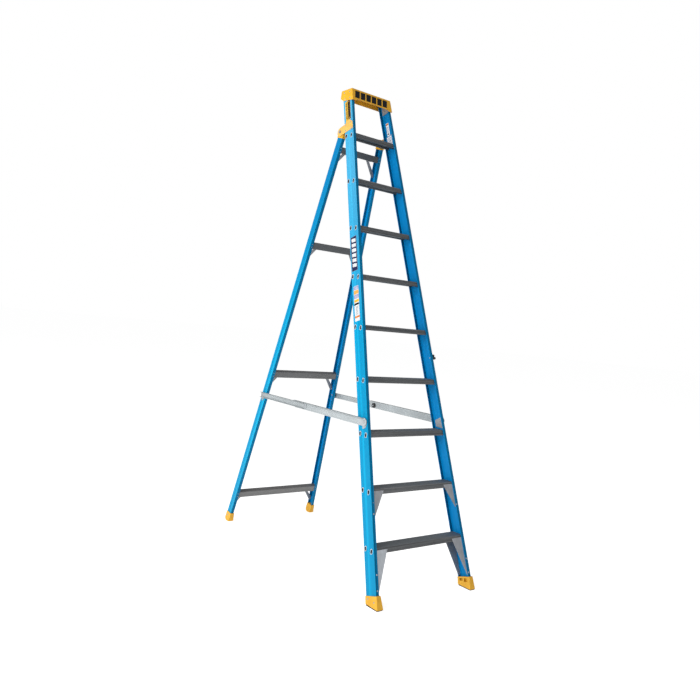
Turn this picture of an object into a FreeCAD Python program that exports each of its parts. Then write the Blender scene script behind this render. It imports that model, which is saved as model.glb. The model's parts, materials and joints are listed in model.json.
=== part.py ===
import FreeCAD, Part
import math
import os
import Sketcher
from FreeCAD import Placement, Rotation, Vector

# A single-sided A-frame step ladder: nine treads and a top cap as the tenth step.
# Millimetres. X runs across the ladder, the climbing side faces -Y, +Z is up and the
# origin is on the floor under the middle of the standing ladder.
#
# Two leaning planes carry the design. A point of the climbing frame is given by x, by
# its depth behind the front faces of its rails, and by its run up the rails from the
# floor. The rear frame has a plane of its own, leaning the other way.

DIMENSIONS = [
    # name, value, what it is
    ("front_lean", 17.94, "lean of the climbing frame from upright, degrees"),
    ("rear_lean", 14.53, "lean of the rear frame from upright, degrees"),
    ("front_splay", 3.89, "angle between a front rail and the middle plane, degrees"),
    ("rear_splay", 4.0, "angle between a rear rail and the middle plane, degrees"),
    ("front_half", 371.3, "half width over the front webs at the floor"),
    ("rear_half", 365.5, "half width over the rear webs at the floor"),
    ("stance", 1690.2, "floor distance between the two frames' front planes"),
    ("mid_depth", 865.33, "origin behind the front frame's floor line"),
    ("step_rise", 300.0, "height of one step"),
    ("front_depth", 85.6, "web depth of a front rail"),
    ("front_flange", 20.7, "flange width of a front rail"),
    ("front_wall", 3.5, "wall of a front rail"),
    ("front_top", 2985.0, "height of the front rails' upper ends"),
    ("front_foot_cut", 10.0, "height of the front rails' lower ends"),
    ("front_blank", 3172.0, "run of the front rails before their ends are cut level"),
    ("rear_depth", 50.9, "web depth of a rear rail"),
    ("rear_flange", 22.5, "flange width of a rear rail"),
    ("rear_wall", 3.2, "wall of a rear rail"),
    ("rear_run", 2812.0, "run of the rear rails' upper ends"),
    ("rear_foot_cut", 14.0, "height of the rear rails' lower ends"),
    ("tread_front", 6.5, "depth of a tread's front skirt"),
    ("tread_back", 80.0, "depth of a tread's rear skirt"),
    ("tread_height", 29.0, "height of a tread's skirts"),
    ("tread_plate", 3.4, "tread plate thickness with its ribs"),
    ("rib_height", 1.0, "height of the tread ribs"),
    ("rib_pitch", 7.6, "spacing of the tread ribs"),
    ("skirt_wall", 2.2, "thickness of a tread skirt"),
    ("groove_depth", 0.7, "depth of the skirt grooves"),
    ("groove_pitch", 6.0, "spacing of the skirt grooves"),
    ("groove_top", 8.0, "highest groove below the tread top"),
    ("port_front", 21.0, "depth of the front port of a tread"),
    ("port_back", 72.0, "depth of the rear port of a tread"),
    ("port_drop", 18.0, "port centre below the tread top"),
    ("port_width", 12.0, "outside width of a port"),
    ("port_height", 24.0, "outside height of a port"),
    ("bore_width", 10.0, "inside width of a port"),
    ("bore_height", 21.5, "inside height of a port"),
    ("rim_width", 17.5, "width of the flared rim"),
    ("rim_height", 29.5, "height of the flared rim"),
    ("rim_thickness", 1.8, "thickness of the flared rim"),
    ("slot_gap", 0.3, "gap between a port and its slot in the web"),
    ("hinge_depth", 131.4, "depth of the hinge axis in the front frame"),
    ("hinge_run", 2901.0, "run of the hinge axis in the front frame"),
    ("hinge_plate", 3.0, "thickness of the hinge plates"),
    ("hinge_round", 29.0, "radius of the hinge plate about its axis"),
    ("hinge_bolt", 5.0, "radius of the hinge bolts"),
    ("running_gap", 0.05, "radial clearance of a turning fit"),
    ("end_cover", 2.5, "wall of the rear rail ends"),
    ("end_width", 25.0, "how far the rear rail ends reach inward"),
    ("end_low", 2765.0, "run of the rear rail ends' lower edges"),
    ("end_high", 2828.0, "run of the rear rail ends' tops"),
    ("end_round", 22.0, "radius of the rear rail ends' tops"),
    ("bolt_start", 133.0, "x of the inner ends of the hinge bolts"),
    ("bolt_seat", 179.0, "x under the heads of the hinge bolts"),
    ("bolt_end", 185.0, "x over the heads of the hinge bolts"),
    ("bolt_head", 9.5, "corner radius of the hinge bolts' heads"),
    ("nut_start", 134.5, "x of the inner faces of the hinge nuts"),
    ("nut_end", 142.5, "x of the outer faces of the hinge nuts"),
    ("nut_radius", 9.0, "corner radius of the hinge nuts"),
    ("gusset_plate", 3.0, "thickness of the front gussets"),
    ("rear_gusset_plate", 2.1, "thickness of the rear gussets"),
    ("beam_height", 40.0, "height of a rear horizontal"),
    ("beam_wall", 2.5, "wall of a rear horizontal"),
    ("brace_plate", 2.5, "thickness of the strap braces"),
    ("brace_near", 66.0, "inset of a strap brace's tab, its outer side"),
    ("brace_far", 90.0, "inset of a strap brace's tab, its inner side"),
    ("brace_drop", 90.0, "how far a strap brace reaches down the rail"),
    ("bracket_plate", 2.5, "thickness of the spreader brackets"),
    ("front_bar_plane", 308.0, "x of the front bars' inner faces"),
    ("front_bar_height", 46.0, "height of a front bar"),
    ("front_bar_flange", 20.0, "width of a front bar over its flange"),
    ("front_bar_tail", 719.0, "length of a front bar behind its pivot"),
    ("rear_bar_plane", 311.0, "x of the rear bars' inner faces"),
    ("rear_bar_height", 35.0, "height of a rear bar"),
    ("rear_bar_flange", 15.0, "width of a rear bar over its flanges"),
    ("bar_wall", 2.5, "wall of the spreader bars"),
    ("spreader_pin", 5.0, "radius of the spreader pins"),
    ("pin_head", 9.0, "head radius of the spreader pins"),
    ("head_height", 3.0, "head height of the spreader pins"),
    ("knob_radius", 16.0, "radius of the knobs"),
    ("knob_height", 12.0, "height of the knobs"),
    ("bracket_round", 28.0, "radius of the front of a front bracket"),
    ("bracket_run", 1001.0, "run of the middle of a front bracket"),
    ("bracket_depth", 36.0, "depth of the centre of that radius"),
    ("bracket_back", 47.0, "depth of the back edge of a front bracket"),
    ("rear_bar_end", 9.0, "how far a rear bar reaches past its rear pivot"),
    ("rivet_radius", 2.4, "shank radius of the rivets"),
    ("rivet_head", 4.8, "head radius of the rivets"),
    ("rivet_height", 1.8, "head height of the rivets"),
    ("cap_height", 2995.0, "height of the top cap's standing face"),
    ("backing", 2.0, "thickness of the backing plates inside the webs"),
    ("cap_wall", 4.0, "wall of the top cap"),
    ("cap_end", 4.5, "end wall of the top cap, outside the rail webs"),
    ("cap_front", -13.0, "depth of the top cap's front face"),
    ("cap_back", 1070.0, "floor distance of the top cap's rear face"),
    ("cap_low", 2916.0, "height of the cap's lower edge at the front"),
    ("cap_knee", 1034.0, "floor distance where the cap's lower edge turns up"),
    ("cap_knee_height", 2924.0, "height of that turn"),
    ("cap_back_low", 2945.0, "height of the cap's lower edge at the back"),
    ("cap_round", 5.0, "radius of the cap's outer edges"),
    ("cap_relief", 9.0, "how much shallower the front skirt is between its ends"),
    ("pad_height", 5.0, "thickness of the front foot pads"),
    ("boot_top", 75.0, "run of the front boots' tops"),
    ("boot_front", -10.0, "depth of the front boots' front faces"),
    ("boot_back", 88.0, "depth of the front boots' rear faces"),
    ("boot_cover", 8.0, "wall of a front boot outside the web, at the floor"),
    ("boot_taper", 2.0, "how much thinner that wall is at the top"),
]
TREADS = 9

# Heights of the rear horizontals, and floor distance and height of the spreader pivots.
BEAM_HEIGHTS = (201.0, 1096.5, 1987.0, 2608.5)
FRONT_PIVOT = (334.6, 952.3)
ELBOW = (935.0, 951.0)
REAR_PIVOT = (1470.3, 950.0)
KNOB = (995.0, 947.5)

# Rivets of the webs as (run, depth).
CAP_RIVETS = ((3149, 66), (3130, 12), (3103, 64), (3086, 12))
HINGE_RIVETS = ((2879, 21.5), (2879, 73), (2917, 21.5), (2917, 73))
BOOT_RIVETS = ((60, 66), (43, 13.5))
FRONT_BRACKET_RIVETS = ((988, 18), (990, 42), (1020, 42))
REAR_BRACKET_RIVETS = ((976, 42), (940, 29))

SIDES = (("left", -1), ("right", 1))

doc = FreeCAD.newDocument("step_ladder")
sheet = doc.addObject("Spreadsheet::Sheet", "dims")
for row, (name, number, meaning) in enumerate(DIMENSIONS, start=1):
    sheet.set("A%d" % row, name)
    sheet.set("B%d" % row, str(number))
    sheet.set("C%d" % row, meaning)
    sheet.setAlias("B%d" % row, name)
doc.recompute()


def size(name):
    """The sheet's value of a named dimension."""
    return float(sheet.get(name))


def value(entry):
    """The number that a plain number or an expression of the sheet stands for."""
    if isinstance(entry, str):
        return float(sheet.evalExpression(entry))
    return float(entry)


def bind(thing, name, entry):
    """Set a property, and keep it tied to the sheet where an expression is given."""
    setattr(thing, name, value(entry))
    if isinstance(entry, str):
        thing.setExpression(name, entry)


# ---------------------------------------------------------------- frames of reference

LEAN = {"front": -size("front_lean"), "rear": size("rear_lean")}
FOOT_LINE = {"front": 0.0, "rear": size("stance")}
SPLAY = {"front": size("front_splay"), "rear": size("rear_splay")}
HALF = {"front": size("front_half"), "rear": size("rear_half")}
FLAT = {
    frame: Placement(
        Vector(0, FOOT_LINE[frame] - size("mid_depth"), 0),
        Rotation(Vector(1, 0, 0), LEAN[frame]),
    )
    for frame in ("front", "rear")
}


def moved(x, y, z, axis=Vector(0, 0, 1), angle=0.0):
    return Placement(Vector(x, y, z), Rotation(axis, angle))


def rail_frame(frame, side):
    """On a rail's web: x is outward from it for the right rail, y the depth, z along it."""
    tilt = moved(side * HALF[frame], 0, 0, Vector(0, 1, 0), -side * SPLAY[frame])
    return FLAT[frame] * tilt


def along(frame, run):
    """Distance along a splayed rail for a run up the frame's plane."""
    return run / math.cos(math.radians(SPLAY[frame]))


def half_at(frame, run):
    """Half width over the webs at a run up the frame's plane."""
    return HALF[frame] - math.tan(math.radians(SPLAY[frame])) * run


def on_web(frame, side, run, depth, out=0.0):
    """A place on a web whose z axis points outward."""
    turn = moved(side * out, depth, along(frame, run), Vector(0, 1, 0), side * 90)
    return rail_frame(frame, side) * turn


def on_face(frame, x, run, depth, facing):
    """A place on a flange whose z axis points to the front (-1) or to the back (1)."""
    return FLAT[frame] * moved(x, depth, run, Vector(1, 0, 0), -90 * facing)


def across(side, x, y, z):
    """A place at a height and a floor distance whose z axis points outward along X."""
    return moved(side * x, y - size("mid_depth"), z, Vector(0, 1, 0), side * 90)


def run_at(frame, height, depth=0.0):
    """Run of the point of a frame that has a height and a depth."""
    lean = math.radians(LEAN[frame])
    return (height - depth * math.sin(lean)) / math.cos(lean)


# ---------------------------------------------------------------- sketches and features

parts = {}
holes = {}


def new_body(name, place):
    body = doc.addObject("PartDesign::Body", name)
    body.Label = name
    body.Placement = place
    parts[name] = body
    return body


def sketch_on(body, role, offset=None):
    sketch = body.newObject("Sketcher::SketchObject", "outline")
    plane = [item for item in body.Origin.OriginFeatures if item.Role == role][0]
    sketch.AttachmentSupport = [(plane, "")]
    sketch.MapMode = "FlatFace"
    if offset is not None:
        sketch.AttachmentOffset = offset
    return sketch


def held_at(geometry, point, x, y):
    """Constraints that hold a point of a sketch at x, y, each with its entry."""
    return [
        (Sketcher.Constraint("DistanceX", geometry, point, value(x)), x),
        (Sketcher.Constraint("DistanceY", geometry, point, value(y)), y),
    ]


def constrain(sketch, joins, held):
    """Add joins and held sizes, and tie a size to the sheet where it is an expression."""
    first = sketch.ConstraintCount + len(joins)
    sketch.addConstraint(joins + [constraint for constraint, entry in held])
    for index, (constraint, entry) in enumerate(held, start=first):
        if isinstance(entry, str):
            sketch.setExpression("Constraints[%d]" % index, entry)


def draw_outline(sketch, corners):
    """A closed outline of straight edges through its corners."""
    points = [Vector(value(x), value(y), 0) for x, y in corners]
    first = sketch.GeometryCount
    count = len(points)
    ends = [points[(i + 1) % count] for i in range(count)]
    sketch.addGeometry([Part.LineSegment(a, b) for a, b in zip(points, ends)], False)
    joins = []
    held = []
    for i, (x, y) in enumerate(corners):
        joins.append(Sketcher.Constraint("Coincident", first + i, 2, first + (i + 1) % count, 1))
        held += held_at(first + i, 1, x, y)
    constrain(sketch, joins, held)


def draw_circle(sketch, x, y, radius):
    circle = Part.Circle(Vector(value(x), value(y), 0), Vector(0, 0, 1), value(radius))
    index = sketch.addGeometry(circle, False)
    held = held_at(index, 3, x, y)
    held.append((Sketcher.Constraint("Radius", index, value(radius)), radius))
    constrain(sketch, [], held)


def draw_oblong(sketch, x, y, width, height, tilt):
    """A slot shape round x, y: two half circles and two straight sides, leaning by tilt."""
    radius = value(width) / 2.0
    reach = value(height) / 2.0 - radius
    lean = math.radians(tilt)
    up = Vector(-math.sin(lean), math.cos(lean), 0)
    right = Vector(math.cos(lean), math.sin(lean), 0)
    middle = Vector(value(x), value(y), 0)
    top = middle + up * reach
    low = middle - up * reach
    arcs = [
        Part.Arc(top + right * radius, top + up * radius, top - right * radius),
        Part.Arc(low - right * radius, low - up * radius, low + right * radius),
    ]
    sides = [
        Part.LineSegment(top - right * radius, low - right * radius),
        Part.LineSegment(low + right * radius, top + right * radius),
    ]
    first = sketch.GeometryCount
    sketch.addGeometry([arcs[0], sides[0], arcs[1], sides[1]], False)
    joins = []
    for i in range(4):
        joins.append(Sketcher.Constraint("Tangent", first + i, 2, first + (i + 1) % 4, 1))
    joins.append(Sketcher.Constraint("Equal", first, first + 2))
    joins.append(Sketcher.Constraint("Radius", first, radius))
    held = held_at(first, 3, top.x, top.y) + held_at(first + 2, 3, low.x, low.y)
    constrain(sketch, joins, held)


def pad(body, sketch, length, both=False, back=False):
    feature = body.newObject("PartDesign::Pad", "pad")
    feature.Profile = sketch
    bind(feature, "Length", length)
    feature.SideType = "Symmetric" if both else "One side"
    feature.Reversed = back
    return feature


def cut_through(body, sketch):
    """Cut a sketch right through the body, to both sides of its plane."""
    feature = body.newObject("PartDesign::Pocket", "cut")
    feature.Profile = sketch
    feature.Type = "ThroughAll"
    feature.SideType = "Symmetric"
    return feature


def round_edges(body, radius, chosen):
    """Round the edges of a body that a test picks."""
    doc.recompute()
    base = body.Tip
    names = ["Edge%d" % (i + 1) for i, edge in enumerate(base.Shape.Edges) if chosen(edge)]
    feature = body.newObject("PartDesign::Fillet", "round")
    feature.Base = (base, names)
    bind(feature, "Radius", radius)
    return feature


def solid_part(name, shape, place=None):
    """A piece whose shape is worked out directly, as a moulding is."""
    feature = doc.addObject("Part::Feature", name)
    feature.Label = name
    feature.Shape = shape
    if place is not None:
        feature.Placement = place
    parts[name] = feature
    return feature


def box(name, place, length, width, height):
    block = doc.addObject("Part::Box", name)
    bind(block, "Length", length)
    bind(block, "Width", width)
    bind(block, "Height", height)
    block.Placement = place
    return block


def rod(name, place, start, end, radius):
    """A cylinder along a place's z axis, from start to end."""
    cylinder = doc.addObject("Part::Cylinder", name)
    bind(cylinder, "Radius", radius)
    cylinder.Height = end - start
    cylinder.Placement = place * moved(0, 0, start)
    return cylinder


def dome(name, place, start, end, radius):
    """A low head that narrows from start to end, along a place's z axis."""
    cone = doc.addObject("Part::Cone", name)
    bind(cone, "Radius1", radius)
    cone.Radius2 = value(radius) * 0.7
    cone.Height = abs(end - start)
    turn = moved(0, 0, start) if end > start else moved(0, 0, start, Vector(1, 0, 0), 180)
    cone.Placement = place * turn
    return cone


def fused(name, pieces, label=None):
    union = doc.addObject("Part::MultiFuse", name)
    union.Shapes = pieces
    if label is not None:
        union.Label = label
        parts[label] = union
    return union


def group(name, pieces):
    """Separate solids that share one node."""
    compound = doc.addObject("Part::Compound", name)
    compound.Links = pieces
    compound.Label = name
    parts[name] = compound
    return compound


def drill(names, place, start, end, radius):
    """Note a hole along a place's z axis in each of the named parts."""
    for name in names:
        holes.setdefault(name, []).append((place, start, end, radius))


def rivet(place, grip, names, head=True, tail=True):
    """A rivet whose head sits at the place and whose shank fills a hole in the parts."""
    height = size("rivet_height")
    shapes = [rod("shank", place, -grip, 0.0, "dims.rivet_radius")]
    if head:
        shapes.append(dome("head", place, 0.0, height, "dims.rivet_head"))
    if tail:
        shapes.append(dome("tail", place, -grip, -grip - height * 0.7, "dims.rivet_head * 0.85"))
    drill(names, place, -grip - 0.5, 0.5, size("rivet_radius"))
    return fused("rivet", shapes) if len(shapes) > 1 else shapes[0]


# ---------------------------------------------------------------- rails


def rail(name, frame, side, length):
    """A channel with its web outside and its flanges turned inward."""
    depth = "dims.%s_depth" % frame
    wall = "dims.%s_wall" % frame
    lip = "%d * dims.%s_flange" % (-side, frame)
    inner = "%d * dims.%s_wall" % (-side, frame)
    body = new_body(name, rail_frame(frame, side))
    section = sketch_on(body, "XY_Plane")
    draw_outline(section, [
        (0, 0),
        (0, depth),
        (lip, depth),
        (lip, depth + " - " + wall),
        (inner, depth + " - " + wall),
        (inner, wall),
        (lip, wall),
        (lip, 0),
    ])
    pad(body, section, length)
    return body


def level_end(body, frame, height, far):
    """Cut a rail level at a height, taking off what lies towards the run called far."""
    corners = []
    for depth in (-5.0, 95.0):
        lean = "%s dims.%s_lean" % ("-" if frame == "front" else "", frame)
        rise = "(%s - (%g) * sin(%s)) / cos(%s) / cos(dims.%s_splay)"
        corners.append((depth, rise % (height, depth, lean, lean, frame)))
    corners.append((95.0, far))
    corners.append((-5.0, far))
    wedge = sketch_on(body, "YZ_Plane")
    draw_outline(wedge, corners)
    cut_through(body, wedge)


def front_rail(name, side):
    body = rail(name, "front", side, "dims.front_blank / cos(dims.front_splay)")
    level_end(body, "front", "dims.front_foot_cut", -20.0)
    level_end(body, "front", "dims.front_top", 3250.0)
    slots = sketch_on(body, "YZ_Plane")
    for port in ("port_front", "port_back"):
        depth = size(port)
        run = run_at("front", size("step_rise") - size("port_drop"), depth)
        wide = size("port_width") + 2 * size("slot_gap")
        tall = size("port_height") + 2 * size("slot_gap")
        draw_oblong(slots, depth, along("front", run), wide, tall, size("front_lean"))
    cut = cut_through(body, slots)
    ladder = body.newObject("PartDesign::LinearPattern", "tread_slots")
    ladder.Originals = [cut]
    ladder.Direction = (slots, ["V_Axis"])
    pitch = "dims.step_rise / cos(dims.front_lean) / cos(dims.front_splay)"
    bind(ladder, "Length", "%d * %s" % (TREADS - 1, pitch))
    ladder.Occurrences = TREADS
    body.Tip = ladder


def rear_rail(name, side):
    body = rail(name, "rear", side, "dims.rear_run / cos(dims.rear_splay)")
    level_end(body, "rear", "dims.rear_foot_cut", -20.0)


# ---------------------------------------------------------------- treads


def slope_point(depth, height):
    """A tread section point: depth is held by the skirts, height is measured upright."""
    drop = "(%s) * tan(dims.front_lean) + (%s) / cos(dims.front_lean)"
    return (depth, drop % (depth, height))


def tread_section():
    """The plate with its ribs, both skirts, the front grooves and the port necks."""
    front = "dims.tread_front"
    back = "dims.tread_back"
    wall = "dims.skirt_wall"
    low = "-dims.tread_height"
    under = "-dims.tread_plate"
    points = []
    for index in range(3):
        base = -size("groove_top") - size("groove_pitch") * (2 - index)
        recess = front + " + dims.groove_depth"
        points.append((front, "%g" % (base - 1.5)))
        points.append((recess, "%g" % (base - 0.8)))
        points.append((recess, "%g" % (base + 0.8)))
        points.append((front, "%g" % (base + 1.5)))
    points.append((front, "-1"))
    points.append((front + " + 1", "0"))
    ribs = 9
    for index in range(ribs):
        start = front + " + 4 + %d * dims.rib_pitch" % index
        points.append((start, "0"))
        points.append((start + " + 1", "-dims.rib_height"))
        points.append((start + " + dims.rib_pitch - 3.5", "-dims.rib_height"))
        points.append((start + " + dims.rib_pitch - 2.5", "0"))
    points.append((back + " - 1", "0"))
    points.append((back, "-1"))
    points.append((back, low))
    points.append((back + " - " + wall, low))
    points.append((back + " - " + wall, under))
    for port in ("dims.port_back", "dims.port_front"):
        points.append((port + " + 1.5", under))
        points.append((port + " + 1.5", "-7.2"))
        points.append((port + " - 1.5", "-7.2"))
        points.append((port + " - 1.5", under))
    points.append((front + " + " + wall, under))
    points.append((front + " + " + wall, low + " + 2.5"))
    points.append((front + " + 6", low + " + 2.5"))
    points.append((front + " + 6", low))
    points.append((front, low))
    return [slope_point(depth, height) for depth, height in points]


def draw_ports(sketch, width, height, stretch=1.0):
    """Both upright port shapes of a tread, on a plane across the ladder."""
    for port in ("port_front", "port_back"):
        depth = size(port)
        lift = run_at("front", -size("port_drop"), depth) * stretch
        draw_oblong(sketch, depth, lift, width, height, size("front_lean"))


def trim_ends(body, frame, run, inset, reach):
    """Cut a crosswise piece to the slope of the webs, at both ends."""
    trim = sketch_on(body, "XZ_Plane")
    for side in (-1, 1):
        corners = []
        for lift, extra in ((-reach, 0), (reach, 0), (reach, 60), (-reach, 60)):
            edge = "%d * (dims.%s_half - %.4f * tan(dims.%s_splay) - %s + %d)"
            corners.append((edge % (side, frame, run + lift, frame, inset, extra), lift))
        draw_outline(trim, corners)
    cut_through(body, trim)


def tread(number):
    run = run_at("front", number * size("step_rise"))
    half = half_at("front", run)
    body = new_body("tread_%d" % number, FLAT["front"] * moved(0, 0, run))
    plate = sketch_on(body, "YZ_Plane")
    draw_outline(plate, tread_section())
    pad(body, plate, 2 * half + 10, both=True)
    trim_ends(body, "front", run, "dims.front_wall / cos(dims.front_splay)", 60)
    ports = sketch_on(body, "YZ_Plane")
    draw_ports(ports, size("port_width"), size("port_height"))
    pad(body, ports, 2 * half + 16, both=True)
    trim_ends(body, "front", run, "0", 60)
    for side in (-1, 1):
        tilt = moved(0, 0, side * half, Vector(1, 0, 0), -side * size("front_splay"))
        rims = sketch_on(body, "YZ_Plane", tilt)
        stretch = along("front", 1.0)
        draw_ports(rims, size("rim_width"), size("rim_height"), stretch)
        pad(body, rims, "dims.rim_thickness", back=side < 0)
    bores = sketch_on(body, "YZ_Plane")
    draw_ports(bores, size("bore_width"), size("bore_height"))
    cut_through(body, bores)


# ---------------------------------------------------------------- top cap


def sloped_wire(corners, side, out):
    """A closed wire through (y, z) corners on the plane of a web, moved outward."""
    lean = math.radians(size("front_lean"))
    points = []
    for y, z in corners:
        run = y * math.sin(lean) + z * math.cos(lean)
        x = side * (half_at("front", run) + out)
        points.append(Vector(x, y - size("mid_depth"), z))
    return Part.makePolygon(points + points[:1])


def between_webs(corners, out):
    """The solid between the two webs whose side view is the outline of the corners."""
    wires = [sloped_wire(corners, side, out) for side in (-1, 1)]
    return Part.makeLoft(wires, True, True)


def leaning_y(depth, height):
    """Floor distance of a point of the climbing frame that has a depth and a height."""
    lean = math.radians(size("front_lean"))
    return depth / math.cos(lean) + height * math.tan(lean)


def top_cap():
    """A hollow moulding: standing face, four skirts, and a raised edge at the front."""
    top = size("cap_height")
    wall = size("cap_wall")
    depth = size("cap_front")
    back = size("cap_back")
    low = size("cap_low")
    outline = [
        (leaning_y(depth, low), low),
        (size("cap_knee"), size("cap_knee_height")),
        (back, size("cap_back_low")),
        (back, top),
        (leaning_y(depth, top), top),
    ]
    shell = between_webs(outline, size("cap_end"))
    rounded = [edge for edge in shell.Edges if edge.BoundBox.ZMin > top - 1]
    rounded += [edge for edge in shell.Edges if is_cap_corner(edge)]
    shell = shell.makeFillet(size("cap_round"), rounded)
    hollow = between_webs([
        (leaning_y(depth + wall, low - 60), low - 60),
        (back - wall, low - 60),
        (back - wall, top - wall),
        (leaning_y(depth + wall, top - wall), top - wall),
    ], 0.0)
    cap = shell.cut(hollow)
    # The front skirt is shallower between its two ends.
    half = half_at("front", run_at("front", low))
    rise = size("cap_relief")
    notch = [(-half + 22, low - 5), (half - 22, low - 5), (half - 36, low + rise)]
    notch.append((-half + 36, low + rise))
    cap = cap.cut(plate_prism(notch, leaning_y(depth, low) - 20, 40))
    # A shallow tray in the standing face.
    tray = Part.makeBox(2 * half_at("front", run_at("front", top)) - 44, 84, 5)
    tray.translate(Vector(-tray.BoundBox.XLength / 2, 971.0 - size("mid_depth"), top - 1.5))
    upright = [edge for edge in tray.Edges if edge.BoundBox.ZLength > 4]
    cap = cap.cut(tray.makeFillet(10.0, upright))
    solid_part("top_cap", cap)


def is_cap_corner(edge):
    """The four upright corners of the cap's outside."""
    bounds = edge.BoundBox
    return bounds.ZLength > 30 and bounds.XLength < 8


def plate_prism(corners, y, thickness):
    """A plate across the ladder from (x, z) corners, from floor distance y backward."""
    points = [Vector(x, y - size("mid_depth"), z) for x, z in corners]
    face = Part.Face(Part.makePolygon(points + points[:1]))
    return face.extrude(Vector(0, thickness, 0))


def cap_rivets():
    shapes = []
    for label, side in SIDES:
        for run, depth in CAP_RIVETS:
            backed = run < 3120 and depth > 20
            grip = size("cap_end") + size("front_wall") + (size("backing") if backed else 0.0)
            place = on_web("front", side, run, depth, size("cap_end"))
            names = ["top_cap", "front_%s_rail" % label]
            if backed:
                names.append("cap_backing_plates")
            shapes.append(rivet(place, grip, names))
    group("top_cap_rivets", shapes)


def cap_backing_plates():
    """Plates behind the rivets of the cap, seen below it inside each rail."""
    shapes = []
    inside = -size("front_wall") - size("backing")
    for label, side in SIDES:
        shapes.append(web_plate("front", side, (3075, 3128), (16, 72), inside, size("backing")))
    group("cap_backing_plates", shapes)


# ---------------------------------------------------------------- main hinge

def hinge_axis():
    """Floor distance and height of the hinge axis."""
    lean = math.radians(size("front_lean"))
    run = size("hinge_run")
    depth = size("hinge_depth")
    y = run * math.sin(lean) + depth * math.cos(lean)
    return y, run * math.cos(lean) - depth * math.sin(lean)


def hinge_plate(name, side):
    """A plate on the web with an arm that reaches back to the hinge axis."""
    body = new_body(name, rail_frame("front", side))
    axis_run = "dims.hinge_run / cos(dims.front_splay)"
    plate = sketch_on(body, "YZ_Plane")
    draw_outline(plate, [
        (3, axis_run + " - 33"),
        ("dims.hinge_depth", axis_run + " - dims.hinge_round"),
        ("dims.hinge_depth", axis_run + " + dims.hinge_round"),
        (72, axis_run + " + 27"),
        (64, axis_run + " + 41"),
        (28, axis_run + " + 38"),
        (2, axis_run + " + 12"),
    ])
    pad(body, plate, "dims.hinge_plate", back=side < 0)
    knuckle = sketch_on(body, "YZ_Plane")
    draw_circle(knuckle, "dims.hinge_depth", axis_run, "dims.hinge_round")
    pad(body, knuckle, "dims.hinge_plate", back=side < 0)


def hinge_plate_rivets():
    shapes = []
    grip = size("hinge_plate") + size("front_wall")
    for label, side in SIDES:
        for run, depth in HINGE_RIVETS:
            place = on_web("front", side, run, depth, size("hinge_plate"))
            names = ["front_%s_rail" % label, "%s_hinge_plate" % label]
            shapes.append(rivet(place, grip, names))
    group("hinge_plate_rivets", shapes)


def hinge_hardware():
    """One bolt and nut at each side, both along the hinge axis."""
    bolts = []
    nuts = []
    radius = size("hinge_bolt")
    for label, side in SIDES:
        place = across(side, 0, *hinge_axis())
        seat = size("bolt_seat")
        end = size("bolt_end")
        shank = rod("bolt_shank", place, size("bolt_start"), seat, "dims.hinge_bolt")
        head = hexagon("bolt_head", place, seat, end, size("bolt_head"))
        bolts.append(fused("bolt", [shank, head]))
        inner = size("nut_start")
        outer = size("nut_end")
        blank = hexagon("nut_blank", place, inner, outer, size("nut_radius"))
        bore = rod("nut_bore", place, inner - 0.5, outer + 0.5, "dims.hinge_bolt")
        nut = doc.addObject("Part::Cut", "nut")
        nut.Base = blank
        nut.Tool = bore
        nuts.append(nut)
        drill(["%s_hinge_plate" % label], place, seat - 14.0, end, radius)
        loose = radius + size("running_gap")
        names = ["rear_%s_rail" % label, "%s_rear_rail_end" % label]
        drill(names, place, inner - 4.5, end, loose)
    group("hinge_bolts", bolts)
    group("hinge_nuts", nuts)


def hexagon(name, place, start, end, radius):
    prism = doc.addObject("Part::Prism", name)
    prism.Polygon = 6
    prism.Circumradius = radius
    prism.Height = end - start
    prism.Placement = place * moved(0, 0, start)
    return prism


def rear_rail_end(name, side):
    """A moulded end that closes the rear rail and turns between the hinge plates."""
    body = new_body(name, rail_frame("rear", side) * moved(side * size("end_cover"), 0, 0))
    outline = sketch_on(body, "YZ_Plane")
    low = along("rear", size("end_low"))
    high = along("rear", size("end_high"))
    rear_face = "dims.rear_depth + dims.end_cover"
    draw_outline(outline, [
        ("-dims.end_cover", low),
        (rear_face, low),
        (rear_face, high),
        ("-dims.end_cover", high),
    ])
    pad(body, outline, "dims.end_width + dims.end_cover", back=side > 0)
    round_edges(body, "dims.end_round", lambda edge: edge.BoundBox.ZMin > high - 0.5
                and edge.BoundBox.YLength < 0.1)
    cover = doc.addObject("Part::Cut", name + "_fitted")
    cover.Base = body
    cover.Tool = parts["rear_%s_rail" % ("left" if side < 0 else "right")]
    body.Label = name + "_block"
    cover.Label = name
    parts[name] = cover


# ---------------------------------------------------------------- gussets


def gusset(name, side, depth, thickness, top, bottom):
    """A triangular plate behind a flange, from a tread down the rail.

    top and bottom are (run, inset of the inner edge from the web's outer face)."""
    body = new_body(name, FLAT["front"] * moved(0, depth, 0))
    outline = sketch_on(body, "XZ_Plane")
    inner_web = size("front_wall") / math.cos(math.radians(size("front_splay")))
    corners = []
    for run, inset in ((bottom[0], inner_web), (top[0], inner_web), top, bottom):
        edge = "%d * (dims.front_half - %g * tan(dims.front_splay) - %.4f)"
        corners.append((edge % (side, run, inset), run))
    draw_outline(outline, corners)
    pad(body, outline, thickness)
    return body


def flange_rivet(side, frame, run, inset, depth, grip, facing, names, head=True, tail=True):
    x = side * (half_at(frame, run) - inset)
    return rivet(on_face(frame, x, run, depth, facing), grip, names, head, tail)


# Corners of the gussets as (run, inset from the web): the upper one, then the lower one.
LOWER_GUSSET = ((306, 99), (85, 22))
UPPER_GUSSET = ((622, 95), (486, 24))
BACK_GUSSET = ((331, 92), (82, 20))
FLANGE_INSET = 12


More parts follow.
